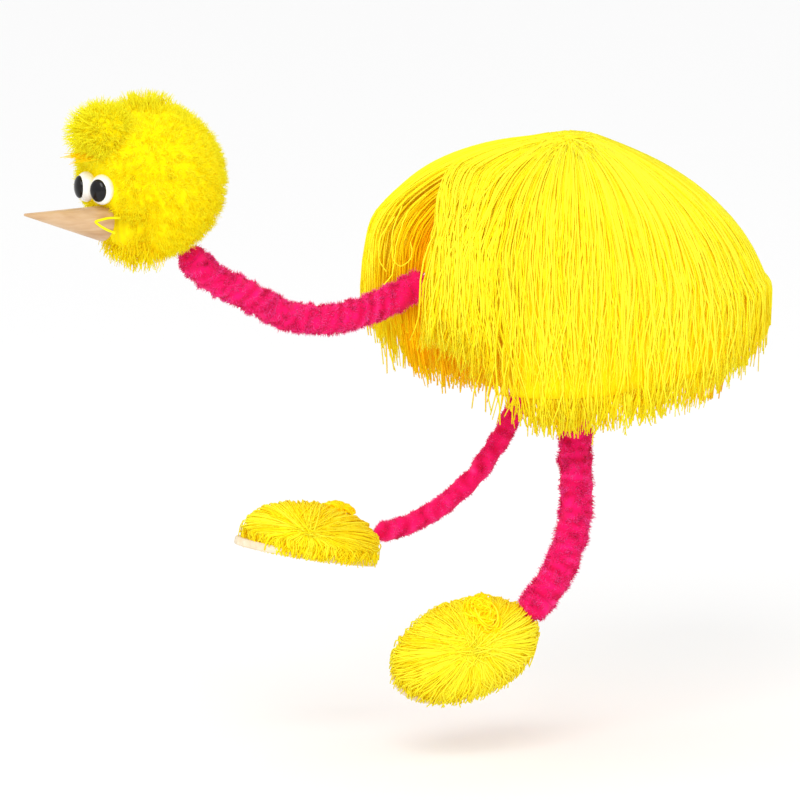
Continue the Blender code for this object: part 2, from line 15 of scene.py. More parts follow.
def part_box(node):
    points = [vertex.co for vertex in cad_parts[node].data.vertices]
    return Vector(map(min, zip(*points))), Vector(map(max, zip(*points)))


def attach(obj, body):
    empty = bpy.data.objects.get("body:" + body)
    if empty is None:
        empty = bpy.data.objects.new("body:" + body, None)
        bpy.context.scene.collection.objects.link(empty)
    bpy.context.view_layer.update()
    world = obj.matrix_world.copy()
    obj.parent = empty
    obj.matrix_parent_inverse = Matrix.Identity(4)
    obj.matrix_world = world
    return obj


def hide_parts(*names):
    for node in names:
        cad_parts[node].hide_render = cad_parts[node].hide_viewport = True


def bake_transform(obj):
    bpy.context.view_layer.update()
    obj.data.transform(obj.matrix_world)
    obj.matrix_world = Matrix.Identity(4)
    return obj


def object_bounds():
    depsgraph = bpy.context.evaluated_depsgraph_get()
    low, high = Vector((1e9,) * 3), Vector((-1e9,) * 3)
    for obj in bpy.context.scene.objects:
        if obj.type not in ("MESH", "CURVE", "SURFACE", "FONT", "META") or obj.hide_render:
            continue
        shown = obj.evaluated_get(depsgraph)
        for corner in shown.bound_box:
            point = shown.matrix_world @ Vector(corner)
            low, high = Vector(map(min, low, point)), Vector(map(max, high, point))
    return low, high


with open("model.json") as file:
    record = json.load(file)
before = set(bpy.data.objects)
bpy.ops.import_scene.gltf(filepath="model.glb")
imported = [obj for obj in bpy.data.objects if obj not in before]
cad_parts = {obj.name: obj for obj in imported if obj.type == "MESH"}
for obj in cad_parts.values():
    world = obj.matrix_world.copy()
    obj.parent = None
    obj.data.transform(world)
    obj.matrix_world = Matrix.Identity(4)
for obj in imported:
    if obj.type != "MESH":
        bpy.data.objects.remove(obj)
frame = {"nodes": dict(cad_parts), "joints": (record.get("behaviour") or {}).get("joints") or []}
cad_low, cad_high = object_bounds()
UP = np.array((0.0, 0.0, 1.0))

# Body mop. Depth 0 is the outermost yarn and 1 lies on the core; bearing 0 is the tail and 180 the neck.
MOP_LAYERS = (
    # name, strands, depth range, polar angle of the roots, hem lift, points, sides
    ("mop_under", 1700, (0.55, 0.95), (20.0, 40.0), (-0.005, 0.007), 12, 3),
    ("mop_inner", 1300, (0.28, 0.58), (12.0, 38.0), (-0.005, 0.006), 14, 3),
    ("mop_middle", 1450, (0.04, 0.20), (4.0, 32.0), (-0.006, 0.006), 17, 3),
    ("mop_outer", 1350, (-0.05, 0.08), (-7.0, 26.0), (-0.004, 0.010), 20, 3),
)
STRAND_RADIUS = 0.00050
SKIRT_TUCK = 0.06
CORE_SKIN = 0.0016
CROWN_PADDING = 0.42
CROWN_RISE = 0.0026
CROWN_WIDTH = 0.024
CENTRE_BELOW_TIE = 0.0798
LEAN = 0.17
LEAN_START = 0.012
LEAN_HEIGHT = 0.020
SHOULDER_BEARING = 158.0
SHOULDER_SPREAD = 26.0
SHOULDER_SWELL = 0.034
PAD_DEPTHS = (0.10, 0.93)
PAD_INSIDE = 0.97
PAD_COLUMNS = 720
PAD_ROWS = 26
HEM_LINE = (
    # bearing, height of the hem
    (0, -0.020), (30, -0.026), (55, -0.040), (75, -0.053), (105, -0.053), (130, -0.040), (145, -0.020),
    (155, -0.003), (164, -0.001), (172, -0.008), (180, -0.012), (200, -0.016), (212, -0.019),
    (220, -0.022), (227, -0.036), (232, -0.055), (245, -0.056), (262, -0.055), (273, -0.050),
    (287, -0.048), (303, -0.036), (315, -0.030), (335, -0.022),
)
CLUMPS = 150
CLUMP_PULL = 0.55
PARTING_TOPS = (0.060, 0.036)
NEAR_EDGES = (208.5, 186.0)
FAR_EDGES = (169.0, 176.0)
UNDER_HEM = (
    # bearing, least drop of the deep strands, which hide the core
    (0, 0.049), (95, 0.049), (130, 0.040), (165, 0.037), (222, 0.037), (245, 0.046), (270, 0.049),
)
STRAY_LINES = (
    ((-0.098, -0.012, -0.028), (-0.104, -0.013, -0.040), (-0.104, -0.013, -0.055), (-0.098, -0.013, -0.059),
     (-0.092, -0.013, -0.055), (-0.093, -0.012, -0.047)),
    ((-0.096, -0.014, -0.030), (-0.103, -0.015, -0.045), (-0.106, -0.015, -0.060), (-0.112, -0.016, -0.065)),
    ((-0.100, -0.008, -0.034), (-0.107, -0.006, -0.044), (-0.108, -0.005, -0.056), (-0.104, -0.005, -0.062)),
    ((-0.020, -0.045, -0.120), (-0.021, -0.046, -0.132), (-0.023, -0.045, -0.140), (-0.022, -0.044, -0.146)),
    ((-0.010, -0.050, -0.122), (-0.011, -0.051, -0.134), (-0.009, -0.050, -0.143), (-0.010, -0.049, -0.150)),
    ((-0.030, -0.040, -0.118), (-0.033, -0.041, -0.128), (-0.034, -0.040, -0.137), (-0.032, -0.039, -0.142)),
)
STRAY_RADIUS = 0.00030
PARTING_SPREAD = 42.0

# Head, in its own frame: origin at the ball's middle, beak towards -X.
HEAD_FROM_NECK = (-0.0157, 0.0, 0.0308)
HEAD_TURN = 15.0
FLUFF_BASE = 0.0378
FLUFF_REACH = 0.0413
FLUFF_COUNT = 20000
FLUFF_TUFTS = 1700
FLUFF_RADIUS = 0.00020
FACE_HEIGHTS = (-1.0, -0.86, -0.62, -0.40, -0.10, 0.22, 0.42, 1.0)
FACE_REACH = (0.0413, 0.0375, 0.0305, 0.0325, 0.0345, 0.0350, 0.0400, 0.0413)
FORELOCK_CENTRE = (-0.0270, 0.0, 0.0265)
FORELOCK_RADIUS = 0.0145
FORELOCK_HAIRS = 3600
FORELOCK_TUFTS = 260
FORELOCK_WISPS = 26
CHIN_WISPS = 420
EYE_MIDDLE = (-0.0328, 0.0, -0.0006)
EYE_SEMI_AXES = (0.0050, 0.0062, 0.0076)
EYE_SPLAY = 19.0
PUPIL_OFFSET = 0.0036
PUPIL_SEMI_AXES = (0.0024, 0.0046, 0.0057)
BEAK_BASE = (-0.0270, 0.0, -0.0190)
BEAK_LENGTH = 0.0517
BEAK_RISE = 11.0
BEAK_RADIUS = 0.0089
BEAK_TIP_RADIUS = 0.0007
BEAK_LOOP = (
    # distance along the beak from its base, and height over its axis
    (-0.003, 0.0042), (0.004, 0.0034), (0.0085, 0.0020), (0.0120, 0.0008), (0.0085, -0.0010),
    (0.0040, -0.0026), (-0.001, -0.0036),
)
BEAK_LOOP_RADIUS = 0.00065

# Plush tubes. Starts and ends are in segments from the first joint; swell is a share of the radius.
PLUSH_TUBES = (
    # label, segment count, last joint, seed, radius, start, end, pile length, swell
    ("neck", 6, "head_swivel", 61, 0.0070, 0.02, 5.70, 0.0019, 0.10),
    ("left_leg", 4, "left_ankle", 71, 0.0077, 0.02, 3.92, 0.0020, 0.11),
    ("right_leg", 4, "right_ankle", 81, 0.0048, 0.02, 3.92, 0.0012, 0.11),
)
PLUSH_COLUMNS = 40
RINGS_PER_SEGMENT = 26
SHORTEST_BEND = 0.6
PILE_PER_MM2 = 1.5
PILE_RADIUS = 0.00019
PILE_TUFT = 11
PILE_TUFT_REACH = 0.0011

# Feet, in the frame of the ankle: toe towards -X. The tuft is a knot of curls over the string's button.
FOOT_TURNS = {"left": (-17.0, 48.0), "right": (12.0, 0.0)}
SOLE_TOP = -0.0095
FOOT_STRAND_RADIUS = 0.00038
TUFT_PLACES = {"left": (-0.0212, 0.0060, 0.0085), "right": (-0.0190, 0.0, 0.0090)}
TUFT_SIZES = {"left": (0.0088, 0.0125, 0.0100), "right": (0.0080, 0.0075, 0.0060)}
FOOT_SEEDS = {"left": 91, "right": 92}
FOOT_CENTRES = {"left": (-0.0320, 0.0, -0.003), "right": (-0.0315, -0.001, -0.005)}
FOOT_SEMI_AXES = {"left": (0.0395, 0.0255, 0.0180), "right": (0.0365, 0.0250, 0.0185)}
FOOT_POLES = {"left": (-0.05, -0.35, 0.93), "right": (-0.36, -0.87, 0.34)}
FOOT_HANGS = {"left": (0.004, 0.0105), "right": (0.002, 0.0090)}
# Painted light and shade: the near left foot is painted lighter and the far right foot darker.
FOOT_PAINTED_LIGHT = {"left": 0.05, "right": -0.10}
FOOT_LAYERS = (
    # strands, depth range, points
    (700, (0.50, 0.85), 9),
    (950, (0.20, 0.50), 12),
    (1150, (0.0, 0.20), 14),
)
FOOT_BUNCHES = 60
TUFT_STRANDS = 80
TUFT_STRAND_RADIUS = 0.00048

# Studio.
FLOOR_HALF_SIZE = 12.0
FLOOR_BELOW_FEET = 0.03
LAMP_PLACE = (-1.2, -1.6, 1.3)
LAMP_AIM = (0.0, 0.0, -0.1)
LAMP_SIZE = 1.4
LAMP_POWER = 22.0
LIGHT_BOUNCES = 14
CAMERA_AZIMUTH = -25.0
CAMERA_ELEVATION = 10.0
CAMERA_DISTANCE = 15.0
FRAME_WIDTH = 0.400
CAMERA_AIM = (-0.0789, 0.0315, -0.1346)


def unit(vectors):
    return vectors / np.maximum(np.linalg.norm(vectors, axis=-1, keepdims=True), 1e-12)


def smooth(values, low, high):
    share = np.clip((values - low) / (high - low), 0.0, 1.0)
    return share * share * (3 - 2 * share)


def lerp(low, high, share):
    return low + (high - low) * share


def middle(node):
    low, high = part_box(node)
    return np.array((low + high) / 2)


# ---------------------------------------------------------------- meshes from arrays

def cross_frames(paths):
    """Two unit vectors across each strand, carried along it without twist."""
    tangents = unit(np.gradient(paths, axis=1))
    steep = np.abs(tangents[:, 0, 2:]) > 0.9
    helper = np.where(steep, (1.0, 0.0, 0.0), (0.0, 0.0, 1.0))
    across = np.empty_like(paths)
    across[:, 0] = unit(np.cross(tangents[:, 0], helper))
    for index in range(1, paths.shape[1]):
        before, along = across[:, index - 1], tangents[:, index]
        across[:, index] = unit(before - (before * along).sum(-1, keepdims=True) * along)
    return across, np.cross(tangents, across)


def tubes(paths, radii, sides, shades):
    """Closed tubes along strands x points x 3 paths, as (points, face arrays, shade of each point)."""
    count, steps = paths.shape[:2]
    radii = np.broadcast_to(radii, (count, steps))
    shades = np.broadcast_to(shades, (count, steps))
    across, other = cross_frames(paths)
    angles = tau * np.arange(sides) / sides
    spokes = (
        np.cos(angles)[:, None] * across[:, :, None] + np.sin(angles)[:, None] * other[:, :, None]
    )
    points = paths[:, :, None] + radii[:, :, None, None] * spokes
    index = np.arange(count * steps * sides).reshape(count, steps, sides)
    beside = np.roll(index, -1, axis=2)
    walls = np.stack((index[:, :-1], beside[:, :-1], beside[:, 1:], index[:, 1:]), axis=-1)
    ends = np.concatenate((index[:, 0, ::-1], index[:, -1]))
    return points.reshape(-1, 3), [walls.reshape(-1, 4), ends], np.repeat(shades.ravel(), sides)


def globe(radius_of, columns, rows):
    """A closed skin round the origin, at the distance that radius_of gives for unit directions."""
    polar = pi * np.arange(1, rows) / rows
    around = tau * np.arange(columns) / columns
    rings = np.stack((
        np.outer(np.sin(polar), np.cos(around)),
        np.outer(np.sin(polar), np.sin(around)),
        np.outer(np.cos(polar), np.ones(columns)),
    ), axis=-1).reshape(-1, 3)
    directions = np.concatenate((rings, (UP, -UP)))
    points = directions * radius_of(directions)[:, None]
    index = np.arange((rows - 1) * columns).reshape(rows - 1, columns)
    beside = np.roll(index, -1, axis=1)
    walls = np.stack((index[:-1], index[1:], beside[1:], beside[:-1]), axis=-1).reshape(-1, 4)
    top, bottom = len(points) - 2, len(points) - 1
    caps = np.concatenate((
        np.stack((np.full(columns, top), index[0], beside[0]), axis=-1),
        np.stack((np.full(columns, bottom), beside[-1], index[-1]), axis=-1),
    ))
    return points, [walls, caps], np.zeros(len(points))


def joined(*shapes):
    """Several (points, faces, shades) shapes as one."""
    points, faces, shades, start = [], [], [], 0
    for shape_points, shape_faces, shape_shades in shapes:
        points.append(shape_points)
        shades.append(shape_shades)
        faces += [array + start for array in shape_faces]
        start += len(shape_points)
    return np.concatenate(points), faces, np.concatenate(shades)


def make_object(name, shape, material, sharp=None):
    """A smooth-shaded mesh object. Its shade attribute drives the colour of yarn and plush."""
    points, faces, shades = shape
    mesh = bpy.data.meshes.new(name)
    mesh.vertices.add(len(points))
    mesh.vertices.foreach_set("co", np.asarray(points, np.float32).ravel())
    corners = np.concatenate([array.ravel() for array in faces])
    sizes = np.concatenate([np.full(len(array), array.shape[1]) for array in faces])
    mesh.loops.add(len(corners))
    mesh.loops.foreach_set("vertex_index", corners.astype(np.int32))
    mesh.polygons.add(len(sizes))
    mesh.polygons.foreach_set("loop_start", (np.cumsum(sizes) - sizes).astype(np.int32))
    mesh.polygons.foreach_set("use_smooth", np.ones(len(sizes), bool))
    mesh.update(calc_edges=True)
    if sharp:
        mesh.set_sharp_from_angle(angle=radians(sharp))
    layer = mesh.attributes.new("shade", "FLOAT", "POINT")
    layer.data.foreach_set("value", np.asarray(shades, np.float32))
    mesh.materials.append(material)
    obj = bpy.data.objects.new(name, mesh)
    bpy.context.scene.collection.objects.link(obj)
    return obj


def moved(shape, matrix):
    """A shape taken from a local frame into the row frame by a 4 x 4 matrix."""
    points, faces, shades = shape
    matrix = np.array(matrix)
    return points @ matrix[:3, :3].T + matrix[:3, 3], faces, shades


def finish_piece(obj, body, slot, *nodes):
    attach(obj, body)
    if nodes:
        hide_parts(*nodes)
    return obj


# ---------------------------------------------------------------- materials

def add_node(tree, kind, **inputs):
    """Adds a shader node; keywords set its inputs, from a socket or a value."""
    made = tree.nodes.new(kind)
    for key, value in inputs.items():
        socket = made.inputs[key.replace("_", " ")]
        if isinstance(value, bpy.types.NodeSocket):
            tree.links.new(value, socket)
        else:
            socket.default_value = value
    return made


def colour_ramp(tree, factor, stops):
    ramp = add_node(tree, "ShaderNodeValToRGB", Fac=factor)
    elements = ramp.color_ramp.elements
    while len(elements) < len(stops):
        elements.new(0.5)
    for element, (place, colour) in zip(elements, stops):
        element.position = place
        element.color = (*colour, 1.0)
    return ramp.outputs["Color"]


def noise_value(tree, scale, detail=3.0, stretch=(1.0, 1.0, 1.0)):
    """Noise over the row frame, with features about 1 / scale metres across."""
    place = tree.nodes.new("ShaderNodeTexCoord")
    mapping = add_node(tree, "ShaderNodeMapping", Vector=place.outputs["Object"], Scale=stretch)
    noise = add_node(tree, "ShaderNodeTexNoise", Vector=mapping.outputs[0], Scale=scale, Detail=detail)
    return noise.outputs["Fac"]


def maths(tree, operation, first, second):
    made = tree.nodes.new("ShaderNodeMath")
    made.operation = operation
    for socket, value in zip(made.inputs, (first, second)):
        if isinstance(value, bpy.types.NodeSocket):
            tree.links.new(value, socket)
        else:
            socket.default_value = value
    return made.outputs[0]


def start_material(name, roughness, **inputs):
    material = bpy.data.materials.new(name)
    material.use_nodes = True
    shader = material.node_tree.nodes["Principled BSDF"]
    shader.inputs["Roughness"].default_value = roughness
    for key, value in inputs.items():
        shader.inputs[key.replace("_", " ")].default_value = value
    return material, material.node_tree, shader


def add_bump(tree, shader, height, distance, strength=0.6):
    bump = add_node(tree, "ShaderNodeBump", Height=height, Distance=distance, Strength=strength)
    tree.links.new(bump.outputs[0], shader.inputs["Normal"])


def fibre_material(name, stops, roughness, sheen, sheen_tint, grain, through=0.0):
    """Dyed fibre: the shade attribute picks the colour, dye tone and painted shade alike, with fine noise
    over it.
    through is the strength of a painted glow: a faint orange emission that stands in for the light thin
    fibres let through and lifts their shade."""
    material, tree, shader = start_material(
        name, roughness, Sheen_Weight=sheen, Sheen_Roughness=0.45, Sheen_Tint=(*sheen_tint, 1.0),
        Specular_IOR_Level=0.10, Emission_Color=(*PAINTED_GLOW_COLOUR, 1.0), Emission_Strength=through,
    )
    shade = add_node(tree, "ShaderNodeAttribute")
    shade.attribute_name = "shade"
    wobble = maths(tree, "MULTIPLY_ADD", noise_value(tree, grain, 2.0), 0.36)
    wobble.node.inputs[2].default_value = -0.18
    factor = maths(tree, "ADD", shade.outputs["Fac"], wobble)
    tree.links.new(colour_ramp(tree, factor, stops), shader.inputs["Base Color"])
    add_bump(tree, shader, noise_value(tree, grain * 6, 2.0), 0.0003, 0.5)
    return material


# Colour of the painted glow, an emission that lifts the shade of yarn and fluff.
PAINTED_GLOW_COLOUR = (1.0, 0.62, 0.0)
YELLOW_STOPS = (
    (0.0, (0.99, 0.52, 0.000)),
    (0.35, (0.99, 0.70, 0.000)),
    (0.65, (0.99, 0.84, 0.006)),
    (1.0, (1.00, 0.95, 0.040)),
)
FLUFF_STOPS = (
    (0.0, (0.94, 0.48, 0.000)),
    (0.35, (0.94, 0.66, 0.000)),
    (0.65, (0.94, 0.80, 0.000)),
    (1.0, (0.95, 0.92, 0.020)),
)
BEAK_STOPS = (
    (0.35, (0.46, 0.25, 0.110)),
    (0.50, (0.60, 0.38, 0.200)),
    (0.65, (0.70, 0.49, 0.300)),
)
PALE_WOOD_STOPS = (
    (0.35, (0.70, 0.56, 0.360)),
    (0.50, (0.80, 0.67, 0.460)),
    (0.65, (0.87, 0.76, 0.580)),
)
CORD_STOPS = ((0.0, (0.66, 0.63, 0.55)), (1.0, (0.86, 0.84, 0.78)))
FOAM_STOPS = ((0.0, (0.86, 0.50, 0.01)), (1.0, (0.95, 0.62, 0.02)))
PINK_STOPS = (
    (0.0, (0.62, 0.000, 0.045)),
    (0.5, (0.93, 0.008, 0.170)),
    (1.0, (1.00, 0.080, 0.400)),
)


def make_materials():
    yellow_sheen, pink_sheen = (1.0, 0.92, 0.05), (1.0, 0.25, 0.55)
    return {
        # The last number for yarn and fluff is the strength of their painted glow.
        "yarn": fibre_material("yellow_yarn", YELLOW_STOPS, 0.7, 0.16, yellow_sheen, 260.0, 0.075),
        "fluff": fibre_material("yellow_fluff", FLUFF_STOPS, 0.8, 0.22, yellow_sheen, 160.0, 0.05),
        "plush": fibre_material("pink_plush", PINK_STOPS, 0.85, 0.45, pink_sheen, 170.0),
        "beak": wood_material("beak_wood", BEAK_STOPS, 0.42),
        "pale_wood": wood_material("pale_wood", PALE_WOOD_STOPS, 0.5),
        "eye_white": gloss_material("eye_white", (0.86, 0.86, 0.83), (0.93, 0.93, 0.91)),
        "eye_black": gloss_material("eye_black", (0.002, 0.002, 0.003), (0.008, 0.007, 0.007), 0.3),
        "button": gloss_material("yellow_button", (0.80, 0.52, 0.01), (0.90, 0.64, 0.02)),
        "cord": fibre_material("white_cord", CORD_STOPS, 0.8, 0.2, (1.0, 1.0, 1.0), 500.0),
        "foam": fibre_material("foam", FOAM_STOPS, 0.9, 0.0, (1.0, 1.0, 1.0), 900.0),
        "wire": wire_material(),
    }


def wood_material(name, stops, roughness):
    """Fine grain along X, over a slow change of tone."""
    material, tree, shader = start_material(name, roughness, Coat_Weight=0.15, Coat_Roughness=0.3)
    grain = noise_value(tree, 420.0, 4.0, (0.12, 1.0, 1.0))
    slow = noise_value(tree, 45.0, 2.0, (0.4, 1.0, 1.0))
    factor = maths(tree, "ADD", maths(tree, "MULTIPLY", grain, 0.5), maths(tree, "MULTIPLY", slow, 0.5))
    tree.links.new(colour_ramp(tree, factor, stops), shader.inputs["Base Color"])
    add_bump(tree, shader, grain, 0.0001, 0.35)
    return material


def gloss_material(name, low, high, coat=0.9):
    material, tree, shader = start_material(
        name, 0.16, Coat_Weight=coat, Coat_Roughness=0.04, Specular_IOR_Level=0.5 * coat
    )
    factor = noise_value(tree, 300.0, 3.0)
    tree.links.new(colour_ramp(tree, factor, ((0.35, low), (0.65, high))), shader.inputs["Base Color"])
    wear = colour_ramp(tree, noise_value(tree, 700.0, 2.0), ((0.3, (0.10,) * 3), (0.7, (0.22,) * 3)))
    tree.links.new(wear, shader.inputs["Roughness"])
    return material


def wire_material():
    material, tree, shader = start_material("wire", 0.3, Metallic=1.0)
    tone = colour_ramp(tree, noise_value(tree, 900.0), ((0.3, (0.50, 0.49, 0.47)), (0.7, (0.66, 0.65, 0.63))))
    tree.links.new(tone, shader.inputs["Base Color"])
    wear = colour_ramp(tree, noise_value(tree, 600.0), ((0.3, (0.2,) * 3), (0.7, (0.42,) * 3)))
    tree.links.new(wear, shader.inputs["Roughness"])
    return material


def dress_frame(materials):
    """Puts the finished materials on the CAD nodes that stay as they are, by record slot."""
    looks = {
        "white_cord": "cord", "foam": "foam", "yellow_button": "button", "beak_wood": "beak",
        "pale_wood": "pale_wood", "wire": "wire", "yellow_yarn": "yarn", "pink_plush": "plush",
        "eye_white": "eye_white", "eye_black": "eye_black",
    }
    for obj in frame["nodes"].values():
        for index, material in enumerate(obj.data.materials):
            slot = material.name.split(".")[0]
            obj.data.materials[index] = materials[looks[slot]]


# ---------------------------------------------------------------- body mop

def mop_sizes():
    """Centre and semi axes of the mop's outside, and semi axes of its lining on the core."""
    high = np.array(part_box("body_yarn_mop")[1])
    core_high = np.array(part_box("body_core")[1])
    centre = np.array((0.0, 0.0, -CENTRE_BELOW_TIE))
    top = core_high[2] - centre[2] + (high[0] - core_high[0]) * CROWN_PADDING
    outside = np.array((high[0], high[1], top))
    return centre, outside, core_high - centre + CORE_SKIN


def shaped(x, y, height):
    """The mop's shoulder is fuller towards the neck and lower towards the tail."""
    reach = np.clip(np.abs(x) - LEAN_START, 0, None) * np.clip(height / LEAN_HEIGHT, 0, 1)
    bearing = np.degrees(np.arctan2(y, x)) % 360
    beside = np.exp(-(((bearing - SHOULDER_BEARING) / SHOULDER_SPREAD) ** 2))
    bulge = 1 + SHOULDER_SWELL * beside * smooth(height, -0.050, 0.005)
    bulge = lerp(bulge, 1.0, smooth(height, 0.026, 0.048))
    return x * bulge, y * bulge, height - LEAN * reach * np.sign(x)


def parted(home, bearings, heights, depth):
    """Bearings in degrees, pushed aside so that the yarn parts round the neck below its top.
    home is each strand's bearing at its root, which picks the side it falls to."""
    near_edge, far_edge = lerp(*NEAR_EDGES, depth), lerp(*FAR_EDGES, depth)
    near_push = (near_edge - 180) * np.clip(1 - (home - 180) / PARTING_SPREAD, 0, 1)
    far_push = (180 - far_edge) * np.clip(1 - (180 - home) / PARTING_SPREAD, 0, 1)
    push = np.where(home >= 180, near_push, -far_push)
    push = np.where(np.abs(home - 180) < PARTING_SPREAD, push, 0.0)
    return bearings + push * (1 - np.clip(heights / lerp(*PARTING_TOPS, depth), 0, 1) ** 3)


def mop_layer(rng, sizes, hem, count, depths, roots, lifts, steps):
    """Centre lines of one layer of strands, from the crown to the hem, and a shade for each."""
    centre, outside, lining = sizes
    bearing = (np.arange(count) + rng.uniform(0.0, 1.0, count)) * 360 / count
    depth = rng.uniform(*depths, count)
    root = np.radians(rng.uniform(*roots, count))
    clump = np.round(bearing * CLUMPS / 360 + rng.normal(0, 0.35, count))
    clump_bearing = clump * 360 / CLUMPS
    clump_lift = 0.0035 * np.sin(clump * 12.9898) * np.cos(clump * 4.1414)
    drop = -np.interp(bearing, *hem, period=360)
    least = np.interp(bearing, *np.array(UNDER_HEM).T, period=360)
    drop = np.maximum(drop, least * smooth(depth, 0.42, 0.70))
    drop = drop - rng.uniform(*lifts, count) - clump_lift
    semi = lerp(outside, lining, depth[:, None])
    reach = (semi[:, 0] + semi[:, 2]) / 2
    arc = (pi / 2 - root) * reach
    travel = np.linspace(0.0, 1.0, steps)[None, :] * (arc + drop)[:, None]
    polar = np.minimum(root[:, None] + travel / reach[:, None], pi / 2)
    fall = np.maximum(travel - arc[:, None], 0.0)
    along = travel / (arc + drop)[:, None]

    height = semi[:, 2:] * np.cos(polar) - fall
    share = np.sin(polar) * (1 - SKIRT_TUCK * (fall / 0.056) ** 2)
    lean = rng.normal(0, 4.0, count) + 2.6 * np.sin(np.radians(bearing * 5))
    lean = lean + 2.0 * np.sin(np.radians(bearing * 11))
    lean = lean + 9.0 * rng.normal(0, 1, count) * (rng.uniform(0, 1, count) < 0.08)
    wave = rng.uniform(0, tau, (count, 1)) + tau * along * rng.uniform(2.0, 4.5, (count, 1))
    turned = bearing[:, None] + lean[:, None] * along**2 + (0.45 + 0.9 * along) * np.sin(wave) * along
    pulled = CLUMP_PULL * smooth(along, 0.45, 1.0) * (clump_bearing - bearing)[:, None]
    turned = parted(bearing[:, None], turned + pulled, height, depth[:, None])
    angle = np.radians(turned)
    puff = 1 + 0.006 * np.cos(wave * 0.7) * along
    x = semi[:, :1] * share * puff * np.cos(angle)
    y = semi[:, 1:2] * share * puff * np.sin(angle)
    lateral = rng.normal(0, 0.004, (count, 1)) * np.exp(-((x**2 + y**2) / 0.02**2))
    x, y = x - lateral * np.sin(angle), y + lateral * np.cos(angle)
    height = height + CROWN_RISE * np.exp(-(x**2 + y**2) / CROWN_WIDTH**2)
    paths = np.stack(shaped(x, y, height), axis=-1) + centre
    # Painted shade: deeper strands get a darker, more orange colour for the shade between layers, and the
    # last quarter of each strand is darker still for the shade at the hem; the clump and random terms are
    # tone.
    shade = 0.92 - 0.80 * depth + rng.normal(0, 0.14, count) + 0.14 * np.sin(clump * 2.7)
    return paths, shade[:, None] - 0.20 * smooth(along, 0.75, 1.0)


def make_mop(materials):
    sizes = mop_sizes()
    hem = np.array(HEM_LINE).T
    made = None
    for seed, (name, count, depths, roots, lifts, steps, sides) in enumerate(MOP_LAYERS, start=11):
        rng = np.random.default_rng(seed)
        paths, shades = mop_layer(rng, sizes, hem, count, depths, roots, lifts, steps)
        along = np.linspace(0, 1, steps)[None, :]
        radii = STRAND_RADIUS * rng.uniform(0.75, 1.2, (count, 1)) * (1 - 0.35 * smooth(along, 0.8, 1.0))
        obj = make_object(name, tubes(paths, radii, sides, shades), materials["yarn"])
        finish_piece(obj, "body", "yellow_yarn")
        made = made or obj
    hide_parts("body_yarn_mop")
    make_mop_pad(materials, sizes, hem)
    make_strays(materials)


def rounded_line(knots, steps, passes):
    """A line of so many steps through the knots, with its corners rounded by so many passes."""
    knots = np.array(knots)
    place = np.linspace(0, len(knots) - 1, steps)
    columns = [np.interp(place, np.arange(len(knots)), column) for column in knots.T]
    line = np.stack(columns, axis=-1)
    for _ in range(passes):
        line[1:-1] = (line[:-2] + 2 * line[1:-1] + line[2:]) / 4
    return line


def make_strays(materials):
    """A few loose strands: loops over the neck, and ends that hang over the legs."""
    rng = np.random.default_rng(29)
    shapes = []
    for knots in STRAY_LINES:
        line = rounded_line(knots, 30, 4)
        line = line + np.cumsum(rng.normal(0, 0.00012, line.shape), axis=0)
        shapes.append(tubes(line[None], STRAY_RADIUS, 5, 0.85))
    obj = make_object("mop_strays", joined(*shapes), materials["yarn"])
    finish_piece(obj, "body", "yellow_yarn")


def make_mop_pad(materials, sizes, hem):
    """The dense yarn under the strands: a closed, ridged shell on the core, with the parting."""
    centre, outside, lining = sizes
    bearing = np.arange(PAD_COLUMNS) * 360 / PAD_COLUMNS
    drop = np.interp(bearing, *hem, period=360)
    bottom = np.minimum(drop * 0.72, -0.004)[None, :]
    open_share = smooth(bearing, 156.0, 168.0) * (1 - smooth(bearing, 222.0, 236.0))
    ridges = 0.007 * np.sin(np.radians(bearing * 90)) * np.sin(np.radians(bearing * 37))
    walls = []
    for upward in (True, False):
        climb = np.linspace(0, 1, PAD_ROWS)[:, None]
        climb = climb if upward else climb[::-1]
        parting = open_share[None, :] * (1 - smooth(climb, 0.55, 0.95))
        depth = lerp(*PAD_DEPTHS, parting) if upward else PAD_INSIDE
        semi = [lerp(outside[axis], lining[axis], depth) for axis in range(3)]
        top = lerp(outside[2], lining[2], PAD_DEPTHS[0] if upward else PAD_INSIDE) * 0.9995
        height = lerp(bottom, top, np.sin(climb * pi / 2))
        share = np.sqrt(np.clip(1 - (np.maximum(height, 0) / semi[2]) ** 2, 0, 1))
        ridge = 1 + ridges if upward else 1.0
        angle = np.radians(np.broadcast_to(bearing, height.shape))
        x = semi[0] * share * ridge * np.cos(angle)
        y = semi[1] * share * ridge * np.sin(angle)
        walls.append(np.stack(shaped(x, y, height) if upward else (x, y, height), axis=-1))
    grid = np.concatenate(walls) + centre
    index = np.arange(2 * PAD_ROWS * PAD_COLUMNS).reshape(2 * PAD_ROWS, PAD_COLUMNS)
    beside, above = np.roll(index, -1, axis=1), np.roll(index, -1, axis=0)
    corner = np.roll(beside, -1, axis=0)
    faces = np.stack((index, beside, corner, above), axis=-1).reshape(-1, 4)
    # The pad is painted the darker orange of deep strands, painted shade under the outer yarn.
    shape = (grid.reshape(-1, 3), [faces], np.full(index.size, 0.42))
    finish_piece(make_object("mop_pad", shape, materials["yarn"]), "body", "yellow_yarn")


# ---------------------------------------------------------------- fibres

def fibonacci(count):
    """Evenly spread unit directions."""
    step = np.arange(count) + 0.5
    polar, around = np.arccos(1 - 2 * step / count), step * pi * (3 - 5**0.5)
    return np.stack((np.sin(polar) * np.cos(around), np.sin(polar) * np.sin(around), np.cos(polar)), -1)


